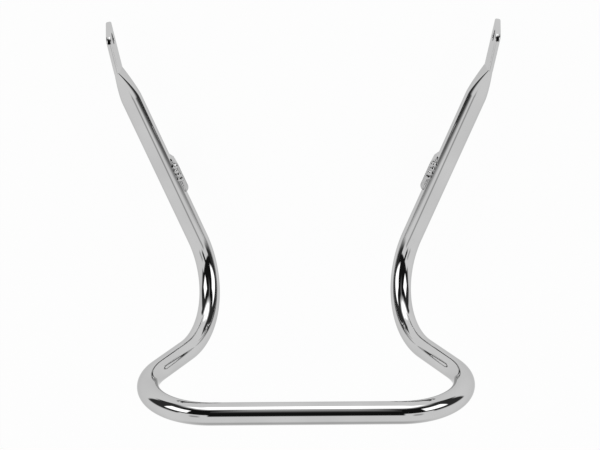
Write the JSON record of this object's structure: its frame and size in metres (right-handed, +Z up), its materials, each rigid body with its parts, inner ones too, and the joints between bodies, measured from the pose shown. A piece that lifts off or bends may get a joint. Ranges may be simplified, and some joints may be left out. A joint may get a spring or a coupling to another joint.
{
  "type": "motorcycle grab rail",
  "caption": "Bent chrome tube hand loop on splayed legs, with flattened pierced ends and a welded lug plate on each leg, for a passenger to hold.",
  "frame": {"origin": "midway between the centres of the two eye holes, in the middle plane", "axes": "+X across the machine from the left eye to the right eye, +Y forward along the middle plane, +Z up; the legs lie level and the hand loop stands square to them at the rear"},
  "size_m": [0.2932, 0.243, 0.2002],
  "materials": {
    "plated_tube": "mirror chrome plate on steel tube",
    "plated_lug": "chrome plate on pressed steel plate",
    "plated_weld": "chrome plate over a weld bead"
  },
  "bodies": {
    "root": {"rail_tube": "plated_tube", "left_lug": "plated_lug", "right_lug": "plated_lug", "left_weld": "plated_weld", "right_weld": "plated_weld"}
  },
  "joints": []
}
